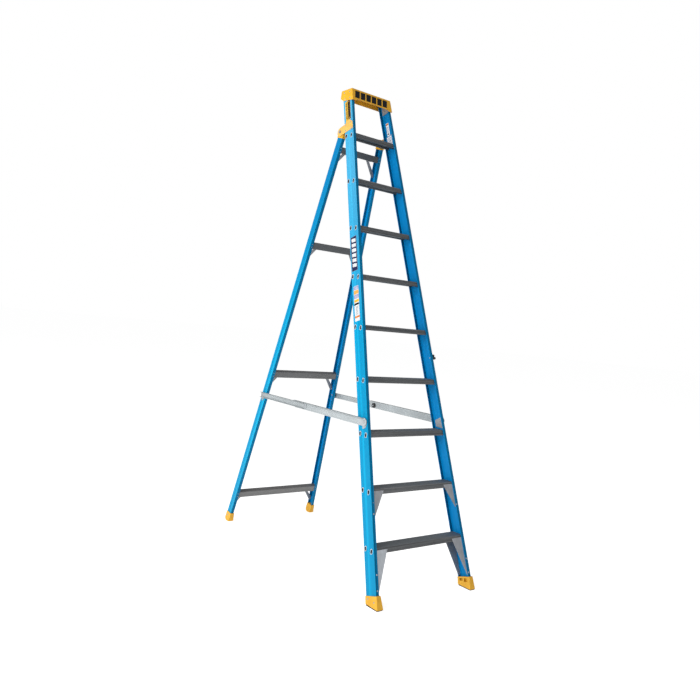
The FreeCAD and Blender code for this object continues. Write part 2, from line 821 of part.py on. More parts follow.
def gussets():
    """Pairs at the front of treads 1 and 2 and at the back of tread 1."""
    shapes = []
    front_face = size("tread_front")
    wall = size("front_wall")
    plate = size("gusset_plate")
    skirt = size("skirt_wall")
    back = size("front_depth") - wall
    rear_plates = []
    for label, side in SIDES:
        rail_name = "front_%s_rail" % label
        lower = "%s_lower_gusset" % label
        upper = "%s_upper_gusset" % label
        gusset(lower, side, front_face, "dims.gusset_plate", *LOWER_GUSSET)
        gusset(upper, side, front_face, "dims.gusset_plate", *UPPER_GUSSET)
        rear_name = "%s_back_gusset" % label
        rear = gusset(rear_name, side, back, "dims.rear_gusset_plate", *BACK_GUSSET)
        rear_plates.append(rear)
        del parts[rear_name]
        for run in (100, 181.5):
            names = [rail_name, lower]
            where = (side, "front", run, FLANGE_INSET, 0, wall + plate, -1, names)
            shapes.append(flange_rivet(*where))
        for run, head in ((500, True), (560, False)):
            where = (side, "front", run, FLANGE_INSET, 0, wall + plate, -1, [rail_name, upper])
            shapes.append(flange_rivet(*where, head=head))
        for run, inset, name, step in ((299, 90, lower, 1), (615, 87, upper, 2)):
            names = [name, "tread_%d" % step]
            grip = plate + skirt
            shapes.append(flange_rivet(side, "front", run, inset, wall, grip, -1, names))
        rear_wall = wall + size("rear_gusset_plate")
        for run in (96, 184):
            names = [rail_name, "rear_gussets"]
            edge = size("front_depth")
            where = (side, "front", run, FLANGE_INSET, edge, rear_wall, 1, names)
            shapes.append(flange_rivet(*where))
        names = ["rear_gussets", "tread_1"]
        grip = size("rear_gusset_plate") + skirt
        shapes.append(flange_rivet(side, "front", 322, 78, back, grip, 1, names, tail=False))
    group("rear_gussets", rear_plates)
    return shapes


# ---------------------------------------------------------------- feet


def boot(name, frame, side, profile, outer, inner, recesses):
    """A moulded boot on a rail's lower end.

    profile is (depth, run) corners of its side view; outer and inner are the x of its
    two faces at the floor and how much each moves per millimetre of run."""
    wires = []
    for start, slope in (outer, inner):
        points = []
        for depth, run in profile:
            out = start + slope * run
            level = along(frame, run) - out * math.tan(math.radians(SPLAY[frame]))
            points.append(Vector(side * out, depth, level))
        wires.append(Part.makePolygon(points + points[:1]))
    block = Part.makeLoft(wires, True, True)
    outside = [edge for edge in block.Edges if is_boot_edge(edge, side)]
    block = block.makeFillet(2.5, outside)
    for depth, width, run, rise in recesses:
        start = min(side * -45.0, side * -13.0)
        recess = Part.makeBox(32.0, width, rise)
        recess.translate(Vector(start, depth, run))
        block = block.cut(recess)
    raw = doc.addObject("Part::Feature", name + "_block")
    raw.Shape = block
    raw.Placement = rail_frame(frame, side)
    fitted = doc.addObject("Part::Cut", name)
    fitted.Base = raw
    fitted.Tool = parts["%s_%s_rail" % (frame, "left" if side < 0 else "right")]
    fitted.Label = name
    parts[name] = fitted


def is_boot_edge(edge, side):
    """The front and rear corners of a boot that run up the rail on its outside."""
    bounds = edge.BoundBox
    return bounds.ZLength > 15 and bounds.XLength < 6 and side * bounds.Center.x > 0


def front_feet():
    """Boots on the front rails, each with a pad under it."""
    pads = []
    shapes = []
    top = size("boot_top")
    front = size("boot_front")
    back = size("boot_back")
    floor_height = size("pad_height")
    profile = [
        (front, run_at("front", floor_height, front)),
        (back, run_at("front", floor_height, back)),
        (back, top),
        (front, top),
    ]
    outside = size("boot_cover")
    taper = size("boot_taper") / top
    for label, side in SIDES:
        name = "%s_front_foot" % label
        recesses = ((10, 26, 48, 20), (46, 26, 54, 15))
        boot(name, "front", side, profile, (outside, -taper), (-36.0, 13.0 / top), recesses)
        inside = size("front_half") - 33.5
        width = 39.0
        start = side * inside if side > 0 else -inside - width
        place = moved(start, -6.5 - size("mid_depth"), 0)
        pads.append(box("pad", place, width, 94.0, "dims.pad_height"))
        for run, depth in BOOT_RIVETS:
            out = outside - taper * run + 0.15
            place = on_web("front", side, run, depth, out)
            shapes.append(rivet(place, out + 9.0, ["front_%s_rail" % label, name], tail=False))
    group("front_foot_pads", pads)
    return shapes


def rear_feet():
    shapes = []
    lean = math.radians(size("rear_lean"))
    sole = ((1684.0, 0.0), (1715.0, 0.0), (1722.0, 1.6), (1729.0, 5.8), (1736.0, 13.5))
    profile = []
    for y, z in sole:
        back = y - size("stance")
        profile.append((back * math.cos(lean) + z * math.sin(lean),
                        z * math.cos(lean) - back * math.sin(lean)))
    profile += [(53.0, 14.0), (53.0, 56.0), (40.0, 60.0), (-5.5, 62.0)]
    for label, side in SIDES:
        name = "%s_rear_foot" % label
        boot(name, "rear", side, profile, (4.8, -0.8 / 60), (-33.0, 8.0 / 60), ())
        place = on_web("rear", side, 38, 27, 4.55)
        shapes.append(rivet(place, 14.0, ["rear_%s_rail" % label, name], tail=False))
    return shapes


# ---------------------------------------------------------------- rear frame cross pieces


def rear_horizontal(number, height):
    """A channel across the rear frame, open to the back, between the rails' flanges."""
    run = run_at("rear", height, size("rear_wall"))
    body = new_body("rear_horizontal_%d" % number, FLAT["rear"] * moved(0, 0, run))
    front = "dims.rear_wall"
    back = "dims.rear_depth - dims.rear_wall"
    top = "dims.beam_height / 2"
    section = sketch_on(body, "YZ_Plane")
    draw_outline(section, [
        (front, "-" + top),
        (back, "-" + top),
        (back, "-" + top + " + dims.beam_wall"),
        (front + " + dims.beam_wall", "-" + top + " + dims.beam_wall"),
        (front + " + dims.beam_wall", top + " - dims.beam_wall"),
        (back, top + " - dims.beam_wall"),
        (back, top),
        (front, top),
    ])
    pad(body, section, 2 * half_at("rear", run) + 10, both=True)
    trim_ends(body, "rear", run, "dims.rear_wall / cos(dims.rear_splay)", 40)
    return run


def strap_brace(side, run):
    """A flat strap from under a horizontal down to the rear flange, with a bent tab."""
    near = size("brace_near")
    far = size("brace_far")
    top = run - size("beam_height") / 2
    low = top - size("brace_drop")
    body = new_body("brace", FLAT["rear"] * moved(0, size("rear_depth") - size("rear_wall"), 0))
    outline = sketch_on(body, "XZ_Plane")
    corners = []
    foot = (5, low + 10), (5, low - 10), (21, low - 10)
    for inset, level in ((far, top), (near, top)) + foot:
        edge = "%d * (dims.rear_half - %.4f * tan(dims.rear_splay) - %g)"
        corners.append((edge % (side, level, inset), level))
    draw_outline(outline, corners)
    pad(body, outline, "dims.brace_plate")
    tab = sketch_on(body, "XZ_Plane")
    corners = []
    under = top - size("brace_plate")
    for inset, level in ((far, top), (near, top), (near, under), (far, under)):
        edge = "%d * (dims.rear_half - %.4f * tan(dims.rear_splay) - %g)"
        corners.append((edge % (side, top, inset), level))
    draw_outline(tab, corners)
    pad(body, tab, 24)
    del parts["brace"]
    return body


def rear_frame_pieces():
    shapes = []
    straps = {"left": [], "right": []}
    back = size("rear_depth")
    wall = size("rear_wall")
    for number, height in enumerate(BEAM_HEIGHTS, start=1):
        run = rear_horizontal(number, height)
        beam = "rear_horizontal_%d" % number
        for label, side in SIDES:
            rail_name = "rear_%s_rail" % label
            braces = "%s_rear_braces" % label
            straps[label].append(strap_brace(side, run))
            for offset in (-10, 10):
                grip = wall + size("beam_wall")
                names = [rail_name, beam]
                where = (side, "rear", run + offset, 13, 0, grip, -1, names)
                shapes.append(flange_rivet(*where, head=False))
            low = run - size("beam_height") / 2 - 88
            grip = wall + size("brace_plate")
            names = [rail_name, braces]
            shapes.append(flange_rivet(side, "rear", low, 13, back, grip, 1, names))
            under = run - size("beam_height") / 2 - size("brace_plate")
            x = side * (half_at("rear", under) - 78)
            place = FLAT["rear"] * moved(x, 33, under, Vector(1, 0, 0), 180)
            shapes.append(rivet(place, 5.0, [beam, braces]))
    for label in straps:
        group("%s_rear_braces" % label, straps[label])
    return shapes


# ---------------------------------------------------------------- spreaders


def spreader_brackets():
    """Brackets on the webs, backing plates inside them, and the pins at both ends."""
    shapes = []
    backing = []
    front_pins = []
    rear_pins = []
    plate = size("bracket_plate")
    gap = size("running_gap")
    for label, side in SIDES:
        front_rail_name = "front_%s_rail" % label
        rear_rail_name = "rear_%s_rail" % label
        front_name = "%s_spreader_front_bracket" % label
        rear_name = "%s_spreader_rear_bracket" % label
        at_front = across(side, 0, *FRONT_PIVOT)
        at_rear = across(side, 0, *REAR_PIVOT)
        base = round_fronted_plate(side, plate)
        boss = rod("boss", at_front, 304.0, size("front_bar_plane") - 0.1, 10.0)
        fused(front_name + "_shape", [base, boss], front_name)
        base = cornered_plate("rear", side, [
            (6, 960), (6, 985), (49, 985), (49, 948), (24, 929), (14, 945),
        ], 0.0, plate)
        boss_end = size("rear_bar_plane") - 0.5
        boss = rod("boss", at_rear, 298.6, boss_end, 12.0)
        fused(rear_name + "_shape", [base, boss], rear_name)
        inside = -size("front_wall") - size("backing")
        backing.append(cornered_plate("front", side, [
            (6, 956), (6, 1033), (70, 1020), (70, 981),
        ], inside, size("backing")))
        shank = rod("pin_shank", at_front, 294.0, 311.0, "dims.spreader_pin")
        start = size("front_bar_plane") + size("bar_wall") + gap
        head = dome("pin_head", at_front, start, start + size("head_height"), "dims.pin_head")
        tail = dome("pin_tail", at_front, 296.3, 293.5, "dims.pin_head * 0.9")
        front_pins.append(fused("front_pin", [shank, head, tail]))
        names = [front_rail_name, front_name, "spreader_backing_plates"]
        drill(names, at_front, 290.0, 309.0, size("spreader_pin"))
        bar = "%s_spreader_front_bar" % label
        drill([bar], at_front, 306.0, 312.0, size("spreader_pin") + gap)
        shank = rod("stub", at_rear, 290.0, boss_end, "dims.spreader_pin")
        tail = dome("stub_tail", at_rear, 292.9, 290.0, "dims.pin_head * 0.9")
        rear_pins.append(fused("rear_pin", [shank, tail]))
        drill([rear_rail_name, rear_name], at_rear, 288.0, 311.0, size("spreader_pin"))
        for run, depth in FRONT_BRACKET_RIVETS:
            place = on_web("front", side, run, depth, plate)
            names = [front_rail_name, front_name, "spreader_backing_plates"]
            grip = plate + size("front_wall") + size("backing")
            shapes.append((0, rivet(place, grip, names, head=False, tail=False)))
        for run, depth in REAR_BRACKET_RIVETS:
            place = on_web("rear", side, run, depth, plate)
            names = [rear_rail_name, rear_name]
            shapes.append((1, rivet(place, plate + size("rear_wall"), names)))
    group("spreader_backing_plates", backing)
    group("spreader_front_pins", front_pins)
    group("spreader_rear_pins", rear_pins)
    front = [shape for where, shape in shapes if where == 0]
    rear = [shape for where, shape in shapes if where == 1]
    return front, rear


def web_plate(frame, side, runs, depths, out, thickness):
    """A flat plate parallel to a web, from out to out + thickness."""
    low = along(frame, runs[0])
    high = along(frame, runs[1])
    start = out if side > 0 else -out - thickness
    place = rail_frame(frame, side) * moved(start, depths[0], low)
    return box("plate", place, thickness, depths[1] - depths[0], high - low)


def cornered_plate(frame, side, corners, out, thickness):
    """A flat plate parallel to a web from (depth, run) corners, from out outward."""
    points = [Vector(side * out, depth, along(frame, run)) for depth, run in corners]
    face = Part.Face(Part.makePolygon(points + points[:1]))
    plate = doc.addObject("Part::Feature", "plate")
    plate.Shape = face.extrude(Vector(side * thickness, 0, 0))
    plate.Placement = rail_frame(frame, side)
    return plate


def round_fronted_plate(side, thickness):
    """A front bracket's plate: half round at the front and straight at the back."""
    radius = size("bracket_round")
    run = size("bracket_run")
    depth = size("bracket_depth")
    disc = rod("disc", on_web("front", side, run, depth), 0.0, thickness, radius)
    runs = (run - radius, run + radius)
    block = web_plate("front", side, runs, (depth, size("bracket_back")), 0.0, thickness)
    whole = fused("plate", [disc, block])
    limit = web_plate("front", side, runs, (0.0, size("bracket_back")), 0.0, thickness)
    trimmed = doc.addObject("Part::Common", "plate")
    trimmed.Base = whole
    trimmed.Tool = limit
    return trimmed


def bar_place(side, start, end, plane):
    """At one pivot of a bar, with y pointing to the other."""
    angle = math.degrees(math.atan2(end[1] - start[1], end[0] - start[0]))
    return moved(side * plane, start[0] - size("mid_depth"), start[1], Vector(1, 0, 0), angle)


def strip(body, side, length_from, length_to, low, high, out):
    """A flat strip of a bar: from low to high across it, standing outward by out."""
    outline = sketch_on(body, "YZ_Plane")
    corners = [(length_from, low), (length_to, low), (length_to, high), (length_from, high)]
    draw_outline(outline, corners)
    pad(body, outline, out, back=side < 0)


def front_bar(label, side):
    """The taller bar, whose top flange the rear bar closes up under."""
    name = "%s_spreader_front_bar" % label
    plane = size("front_bar_plane")
    body = new_body(name, bar_place(side, FRONT_PIVOT, ELBOW, plane))
    half = "dims.front_bar_height / 2"
    strip(body, side, 0, "dims.front_bar_tail", "-" + half, half, "dims.bar_wall")
    end = sketch_on(body, "YZ_Plane")
    draw_circle(end, 0, 0, half)
    pad(body, end, "dims.bar_wall", back=side < 0)
    strip(body, side, 4, "dims.front_bar_tail", half + " - dims.bar_wall", half,
          "dims.front_bar_flange")
    long_top = size("front_bar_height") / 2
    round_edges(body, 1.8, lambda edge: edge.BoundBox.YLength > 700
                and edge.BoundBox.ZMin > long_top - 0.1 and abs(edge.BoundBox.Center.x) < 0.1)


def rear_bar(label, side):
    """The channel bar between the elbow and the rear frame."""
    name = "%s_spreader_rear_bar" % label
    body = new_body(name, bar_place(side, ELBOW, REAR_PIVOT, size("rear_bar_plane")))
    length = REAR_PIVOT[0] - ELBOW[0]
    half = "dims.rear_bar_height / 2"
    finish = length + size("rear_bar_end")
    strip(body, side, 0, finish, "-" + half, half, "dims.bar_wall")
    end = sketch_on(body, "YZ_Plane")
    draw_circle(end, 0, 0, half)
    pad(body, end, "dims.bar_wall", back=side < 0)
    strip(body, side, 4, finish, half + " - dims.bar_wall", half, "dims.rear_bar_flange")
    strip(body, side, 4, finish, "-" + half, "-" + half + " + dims.bar_wall",
          "dims.rear_bar_flange")


def bar_fasteners(label, side):
    """The elbow rivet, the knob and its rivet, and the rear bar's own pin."""
    gap = size("running_gap")
    inner = size("front_bar_plane")
    middle = size("rear_bar_plane")
    outer = middle + size("bar_wall")
    at_elbow = across(side, 0, *ELBOW)
    front_name = "%s_spreader_front_bar" % label
    rear_name = "%s_spreader_rear_bar" % label
    shank = rod("elbow_shank", at_elbow, inner, outer + gap, "dims.spreader_pin")
    low = dome("elbow_tail", at_elbow, inner, inner - 2.5, "dims.pin_head")
    high = dome("elbow_head", at_elbow, outer + gap, outer + gap + 3, "dims.pin_head")
    elbow = fused("elbow", [shank, low, high])
    drill([front_name], at_elbow, inner - 1, middle, size("spreader_pin"))
    drill([rear_name], at_elbow, middle - 0.2, outer + 1, size("spreader_pin") + gap)
    at_knob = across(side, inner, *KNOB)
    height = size("knob_height")
    knob_name = "%s_spreader_knob" % label
    knob = new_body(knob_name, at_knob * moved(0, 0, -height))
    face = sketch_on(knob, "XY_Plane")
    draw_circle(face, 0, 0, "dims.knob_radius")
    pad(knob, face, "dims.knob_height")
    round_edges(knob, 3.0, lambda edge: edge.BoundBox.ZMax < 0.1)
    wall = size("bar_wall")
    shank = rod("knob_shank", at_knob, -height, wall, 3.0)
    cap = dome("knob_head", at_knob, -height, -height - 2, 6.0)
    drill([knob_name, front_name], at_knob, -height - 1, wall + 1, 3.0)
    group("%s_bar_rivets" % label, [elbow, fused("knob_rivet", [shank, cap])])
    at_end = across(side, 0, *REAR_PIVOT)
    shank = rod("end_shank", at_end, middle, outer, "dims.spreader_pin")
    head = dome("end_head", at_end, outer, outer + 3, "dims.pin_head")
    fused("end_pin", [shank, head], "%s_rear_bar_pin" % label)
    drill([rear_name], at_end, middle - 1, outer + 1, size("spreader_pin"))


def transport_clip():
    """A small moulded clip on the right rail: a base with two rounded lobes."""
    base = 4.0
    upper = on_web("front", 1, 1417, 9)
    lower = on_web("front", 1, 1401, 9)
    shapes = [
        web_plate("front", 1, (1390, 1424), (0.5, 34), 0.0, base),
        rod("upper_lobe", upper, 2.0, 17.0, 8.0),
        dome("upper_top", upper, 17.0, 20.0, 8.0),
        rod("lower_lobe", lower, 2.0, 24.0, 8.5),
        dome("lower_top", lower, 24.0, 27.0, 8.5),
    ]
    fused("clip_shape", shapes, "transport_clip")
    place = on_web("front", 1, 1407, 25, base)
    return [rivet(place, base + size("front_wall"), ["front_right_rail", "transport_clip"])]


# ---------------------------------------------------------------- the ladder

for label, side in SIDES:
    front_rail("front_%s_rail" % label, side)
    rear_rail("rear_%s_rail" % label, side)
for number in range(1, TREADS + 1):
    tread(number)
top_cap()
cap_backing_plates()
cap_rivets()
for label, side in SIDES:
    hinge_plate("%s_hinge_plate" % label, side)
    rear_rail_end("%s_rear_rail_end" % label, side)
hinge_plate_rivets()
hinge_hardware()
front_rivets = gussets() + front_feet()
rear_rivets = rear_feet() + rear_frame_pieces()
bracket_rivets = spreader_brackets()
front_rivets += bracket_rivets[0]
rear_rivets += bracket_rivets[1]
for label, side in SIDES:
    front_bar(label, side)
    rear_bar(label, side)
    bar_fasteners(label, side)
front_rivets += transport_clip()
group("front_frame_rivets", front_rivets)
group("rear_frame_rivets", rear_rivets)

# Every noted hole is cut from its part, which then goes by the part's name.
for name, noted in holes.items():
    tools = [rod("hole", place, start, end, radius) for place, start, end, radius in noted]
    tool = tools[0]
    if len(tools) > 1:
        tool = doc.addObject("Part::Compound", name + "_holes")
        tool.Links = tools
    blank = parts[name]
    blank.Label = name + "_blank"
    drilled = doc.addObject("Part::Cut", name + "_drilled")
    drilled.Base = blank
    drilled.Tool = tool
    drilled.Label = name
    parts[name] = drilled

doc.recompute()
for item in doc.Objects:
    if "Invalid" in item.State or "Error" in item.State:
        raise RuntimeError("%s (%s) failed: %s" % (item.Name, item.Label, item.State))
for name, part in parts.items():
    if part.Shape.isNull() or not part.Shape.isValid():
        raise RuntimeError("%s has no valid shape" % name)

os.makedirs("parts", exist_ok=True)
for name, part in parts.items():
    part.Shape.exportStep("parts/%s.step" % name)
    bounds = part.Shape.BoundBox
    print("%-32s %2d solid(s)  volume %10.0f  z %8.1f to %8.1f" % (
        name, len(part.Shape.Solids), part.Shape.Volume, bounds.ZMin, bounds.ZMax))
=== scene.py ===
import json
import math

import bmesh
import bpy
from mathutils import Matrix, Vector


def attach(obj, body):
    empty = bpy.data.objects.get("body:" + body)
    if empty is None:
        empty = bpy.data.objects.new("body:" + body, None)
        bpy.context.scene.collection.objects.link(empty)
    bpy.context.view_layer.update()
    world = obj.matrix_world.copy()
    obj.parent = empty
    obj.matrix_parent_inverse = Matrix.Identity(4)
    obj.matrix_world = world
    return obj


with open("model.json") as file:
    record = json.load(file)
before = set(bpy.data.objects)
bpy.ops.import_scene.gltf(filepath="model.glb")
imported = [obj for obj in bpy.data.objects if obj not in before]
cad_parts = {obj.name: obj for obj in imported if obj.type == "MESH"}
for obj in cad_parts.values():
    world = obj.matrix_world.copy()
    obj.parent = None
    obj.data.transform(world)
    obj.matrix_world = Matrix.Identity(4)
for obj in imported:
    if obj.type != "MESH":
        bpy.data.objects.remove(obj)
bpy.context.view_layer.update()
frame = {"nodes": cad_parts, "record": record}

# The climbing frame leans back and its rails lean inward. A place on it is given by its
# run up the frame, its depth behind the rails' front faces and its distance out of a web.
# WALL is the thickness of a web, and CAP_FRONT is the depth of the top cap's front face.
LEAN = math.radians(17.94)
SPLAY = math.radians(3.89)
HALF_WIDTH = 0.3713
MID_DEPTH = 0.86533
REAR_LEAN = math.radians(14.53)
REAR_SPLAY = math.radians(4.0)
WALL = 0.0035
CAP_FRONT = -0.013
LEFT, RIGHT = -1, 1

# The two ports of each tread, and the painted shade in the throat inside their flared ends.
STEP_RISE = 0.3
PORT_FRONT = 0.021
PORT_BACK = 0.072
PORT_DROP = 0.018
THROAT_HALF_WIDTH = 0.0070
THROAT_HALF_HEIGHT = 0.0122
THROAT_SQUARENESS = 2.6
WEB_FADE = (-0.0008, 0.0002)

# A printed label is a skin this thick, and each layer on it rises a little more.
LABEL_SKIN = 0.00022
LABEL_LAYER = 0.00006

LIGHT_AIM = (0.0, 0.0, 1.4)
CAMERA_PLACE = (-2.8183, -3.59913, 1.5132)
CAMERA_YAW = math.radians(37.58)
CAMERA_PITCH = math.radians(-2.336)
CAMERA_ROLL = math.radians(5.414)
CAMERA_LENS = 36.16
FLOOR_RADIUS = 60.0
FLOOR_DROP = 0.0005


# ------------------------------------------------------------------ places


def frame_point(x, run, depth):
    """A point of the climbing frame from its x, run and depth."""
    y = run * math.sin(LEAN) + depth * math.cos(LEAN) - MID_DEPTH
    z = run * math.cos(LEAN) - depth * math.sin(LEAN)
    return Vector((x, y, z))


def web_point(side, run, depth, out=0.0):
    """A point on the web of a front rail, or out of it by a small distance."""
    half = HALF_WIDTH - math.tan(SPLAY) * run
    outward = Vector((side * math.cos(SPLAY), math.sin(SPLAY) * math.sin(LEAN),
                      math.sin(SPLAY) * math.cos(LEAN)))
    return frame_point(side * half, run, depth) + outward * out


# ------------------------------------------------------------------ materials


def shader(name):
    """A new material and its principled shader."""
    material = bpy.data.materials.new(name)
    material.use_nodes = True
    return material, material.node_tree, material.node_tree.nodes["Principled BSDF"]


def add(tree, kind, **inputs):
    """A node with its plain sockets set by name."""
    node = tree.nodes.new(kind)
    for key, entry in inputs.items():
        node.inputs[key].default_value = entry
    return node


def place(tree, scale, lean=0.0, splay=0.0):
    """Object coordinates, turned so that Z runs along a leaning, splayed rail."""
    source = tree.nodes.new("ShaderNodeTexCoord")
    turn = tree.nodes.new("ShaderNodeMapping")
    turn.inputs["Rotation"].default_value = (lean, splay, 0.0)
    stretch = tree.nodes.new("ShaderNodeMapping")
    stretch.inputs["Scale"].default_value = scale
    tree.links.new(source.outputs["Object"], turn.inputs["Vector"])
    tree.links.new(turn.outputs["Vector"], stretch.inputs["Vector"])
    return stretch.outputs["Vector"]


def noise(tree, vector, detail=3.0, rough=0.5):
    """Soft noise over a vector that already carries its scale."""
    node = add(tree, "ShaderNodeTexNoise", Scale=1.0, Detail=detail, Roughness=rough)
    tree.links.new(vector, node.inputs["Vector"])
    return node.outputs["Fac"]


def ramp(tree, factor, stops):
    """A colour ramp from (position, colour) stops; a colour may be one number."""
    node = tree.nodes.new("ShaderNodeValToRGB")
    elements = node.color_ramp.elements
    while len(elements) < len(stops):
        elements.new(0.5)
    for element, (position, colour) in zip(elements, stops):
        if isinstance(colour, float):
            colour = (colour, colour, colour)
        element.position = position
        element.color = (*colour, 1.0)
    tree.links.new(factor, node.inputs["Fac"])
    return node.outputs["Color"]


def mix(tree, factor, first, second, kind="MIX"):
    """Mix two colours; the factor and the colours may be plain or linked."""
    node = tree.nodes.new("ShaderNodeMix")
    node.data_type = "RGBA"
    node.blend_type = kind
    for index, entry in ((0, factor), (6, first), (7, second)):
        if isinstance(entry, bpy.types.NodeSocket):
            tree.links.new(entry, node.inputs[index])
        elif index == 0:
            node.inputs[index].default_value = entry
        else:
            node.inputs[index].default_value = (*entry, 1.0)
    return node.outputs[2]


def maths(tree, operation, *entries):
    """A Math node of plain or linked numbers."""
    node = tree.nodes.new("ShaderNodeMath")
    node.operation = operation
    for socket, entry in zip(node.inputs, entries):
        if isinstance(entry, bpy.types.NodeSocket):
            tree.links.new(entry, socket)
        else:
            socket.default_value = entry
    return node.outputs[0]


def axes(tree, output):
    """The X, Y and Z of the object's own coordinates or normals."""
    source = tree.nodes.new("ShaderNodeTexCoord")
    split = tree.nodes.new("ShaderNodeSeparateXYZ")
    tree.links.new(source.outputs[output], split.inputs["Vector"])
    return split.outputs["X"], split.outputs["Y"], split.outputs["Z"]


def fade(tree, value, start, end):
    """A number that climbs from 0 at start to 1 at end."""
    node = tree.nodes.new("ShaderNodeMapRange")
    node.clamp = True
    node.inputs["From Min"].default_value = start
    node.inputs["From Max"].default_value = end
    tree.links.new(value, node.inputs["Value"])
    return node.outputs["Result"]


def bump(tree, principled, height, strength):
    """A relief of at most a fifth of a millimetre."""
    node = add(tree, "ShaderNodeBump", Strength=strength, Distance=0.0002)
    tree.links.new(height, node.inputs["Height"])
    tree.links.new(node.outputs["Normal"], principled.inputs["Normal"])


def fibreglass(name, lean, splay, outward, top_sheen_shade_dark, top_sheen_shade_light, top_sheen_shade_share):
    """Pultruded fibreglass with long streaks: webs, flanges painted darker as shade, inner faces
    painted darker and bluer as shade.

    Towards the top, a share of the outer web is painted in two colours of its own: a painted sheen
    on the front rails, painted shade on the rear ones.
    """
    material, tree, principled = shader(name)
    streaks = noise(tree, place(tree, (70.0, 70.0, 0.8), lean, splay), 4.0, 0.60)
    bands = noise(tree, place(tree, (38.0, 38.0, 0.30), lean, splay), 1.0)
    web = ramp(tree, streaks, [(0.36, (0.0, 0.225, 0.42)), (0.60, (0.002, 0.315, 0.53))])
    web = mix(tree, ramp(tree, bands, [(0.42, 0.0), (0.60, 0.75)]), web, (0.0, 0.180, 0.35))
    # Flanges take a darker copy of the web colour: painted shade.
    flange_shade = ramp(tree, streaks, [(0.36, (0.0, 0.090, 0.20)), (0.64, (0.001, 0.145, 0.30))])
    sideways = axes(tree, "Normal")[0]
    across = maths(tree, "ABSOLUTE", sideways)
    colour = mix(tree, fade(tree, across, 0.35, 0.85), flange_shade, web)
    outside = maths(tree, "MULTIPLY", sideways, outward)
    # Inner faces of the web take a darker, bluer colour: painted shade.
    inner_face_shade = mix(tree, streaks, (0.001, 0.120, 0.33), (0.002, 0.235, 0.56))
    colour = mix(tree, fade(tree, outside, -0.80, -0.95), colour, inner_face_shade)
    # Painted light towards the top of the outer web: sheen on the front rails, shade on the rear
    # ones.
    height = fade(tree, axes(tree, "Object")[2], 1.5, 2.5)
    top_sheen_shade_mask = maths(tree, "MULTIPLY", fade(tree, outside, 0.80, 0.95), height)
    top_sheen_shade = mix(tree, streaks, top_sheen_shade_dark, top_sheen_shade_light)
    colour = mix(tree, maths(tree, "MULTIPLY", top_sheen_shade_mask, top_sheen_shade_share), colour, top_sheen_shade)
    tree.links.new(colour, principled.inputs["Base Color"])
    fine = noise(tree, place(tree, (300.0, 300.0, 2.0), lean, splay), 2.0)
    tree.links.new(ramp(tree, fine, [(0.3, 0.34), (0.7, 0.46)]), principled.inputs["Roughness"])
    principled.inputs["Specular IOR Level"].default_value = 0.20
    principled.inputs["Specular Tint"].default_value = (0.10, 0.65, 1.0, 1.0)
    bump(tree, principled, fine, 0.03)
    return material


def drawn_metal(name, dark, light, metallic, rough, scale, underside_shade=None):
    """Drawn or pressed metal with die lines; its undersides may take a darker colour of their own,
    as painted shade.
    """
    material, tree, principled = shader(name)
    lines = noise(tree, place(tree, scale), 4.0, 0.65)
    soft = noise(tree, place(tree, (6.0, 6.0, 6.0)), 3.0)
    colour = ramp(tree, lines, [(0.32, dark), (0.66, light)])
    colour = mix(tree, 1.0, colour, ramp(tree, soft, [(0.35, 0.86), (0.65, 1.0)]), "MULTIPLY")
    if underside_shade is not None:
        # Faces that look down take the underside colour: painted shade.
        down = fade(tree, axes(tree, "Normal")[2], -0.2, -0.7)
        colour = mix(tree, down, colour, underside_shade)
    tree.links.new(colour, principled.inputs["Base Color"])
    principled.inputs["Metallic"].default_value = metallic
    tree.links.new(ramp(tree, lines, [(0.3, rough), (0.7, rough + 0.12)]),
                   principled.inputs["Roughness"])
    bump(tree, principled, lines, 0.12)
    return material, tree, principled, colour


def beyond_web(tree):
    """1 on what stands proud of the front rails' webs: the flared ends of the treads."""
    x, y, z = axes(tree, "Object")
    point = tree.nodes.new("ShaderNodeCombineXYZ")
    for socket, entry in zip(point.inputs, (maths(tree, "ABSOLUTE", x), y, z)):
        tree.links.new(entry, socket)
    dot = tree.nodes.new("ShaderNodeVectorMath")
    dot.operation = "DOT_PRODUCT"
    dot.inputs[1].default_value = (math.cos(SPLAY), math.sin(SPLAY) * math.sin(LEAN),
                                   math.sin(SPLAY) * math.cos(LEAN))
    tree.links.new(point.outputs["Vector"], dot.inputs[0])
    level = HALF_WIDTH * math.cos(SPLAY) - MID_DEPTH * math.sin(LEAN) * math.sin(SPLAY)
    return fade(tree, dot.outputs["Value"], level + WEB_FADE[0], level + WEB_FADE[1])


def reach(tree, offset, half):
    """How far an offset goes towards a half size, for a squarish oval."""
    share = maths(tree, "ABSOLUTE", maths(tree, "DIVIDE", offset, half))
    return maths(tree, "POWER", share, THROAT_SQUARENESS)


def throat_shade_mask(tree):
    """1 in the throat of each port, painted dark as shade where the flare curls back from the web.
    """
    _, y, z = axes(tree, "Object")
    lifted = maths(tree, "ADD", z, PORT_DROP)
    rise = maths(tree, "WRAP", lifted, STEP_RISE / 2, -STEP_RISE / 2)
    level = maths(tree, "SUBTRACT", z, rise)
    behind = maths(tree, "SUBTRACT", y, maths(tree, "MULTIPLY", level, math.tan(LEAN)))
    middle = (PORT_FRONT + PORT_BACK) / 2 / math.cos(LEAN) - MID_DEPTH
    spacing = (PORT_BACK - PORT_FRONT) / 2 / math.cos(LEAN)
    from_middle = maths(tree, "ABSOLUTE", maths(tree, "SUBTRACT", behind, middle))
    aside = maths(tree, "SUBTRACT", from_middle, spacing)
    wide = reach(tree, aside, THROAT_HALF_WIDTH)
    tall = reach(tree, rise, THROAT_HALF_HEIGHT)
    return fade(tree, maths(tree, "ADD", wide, tall), 1.15, 0.85)


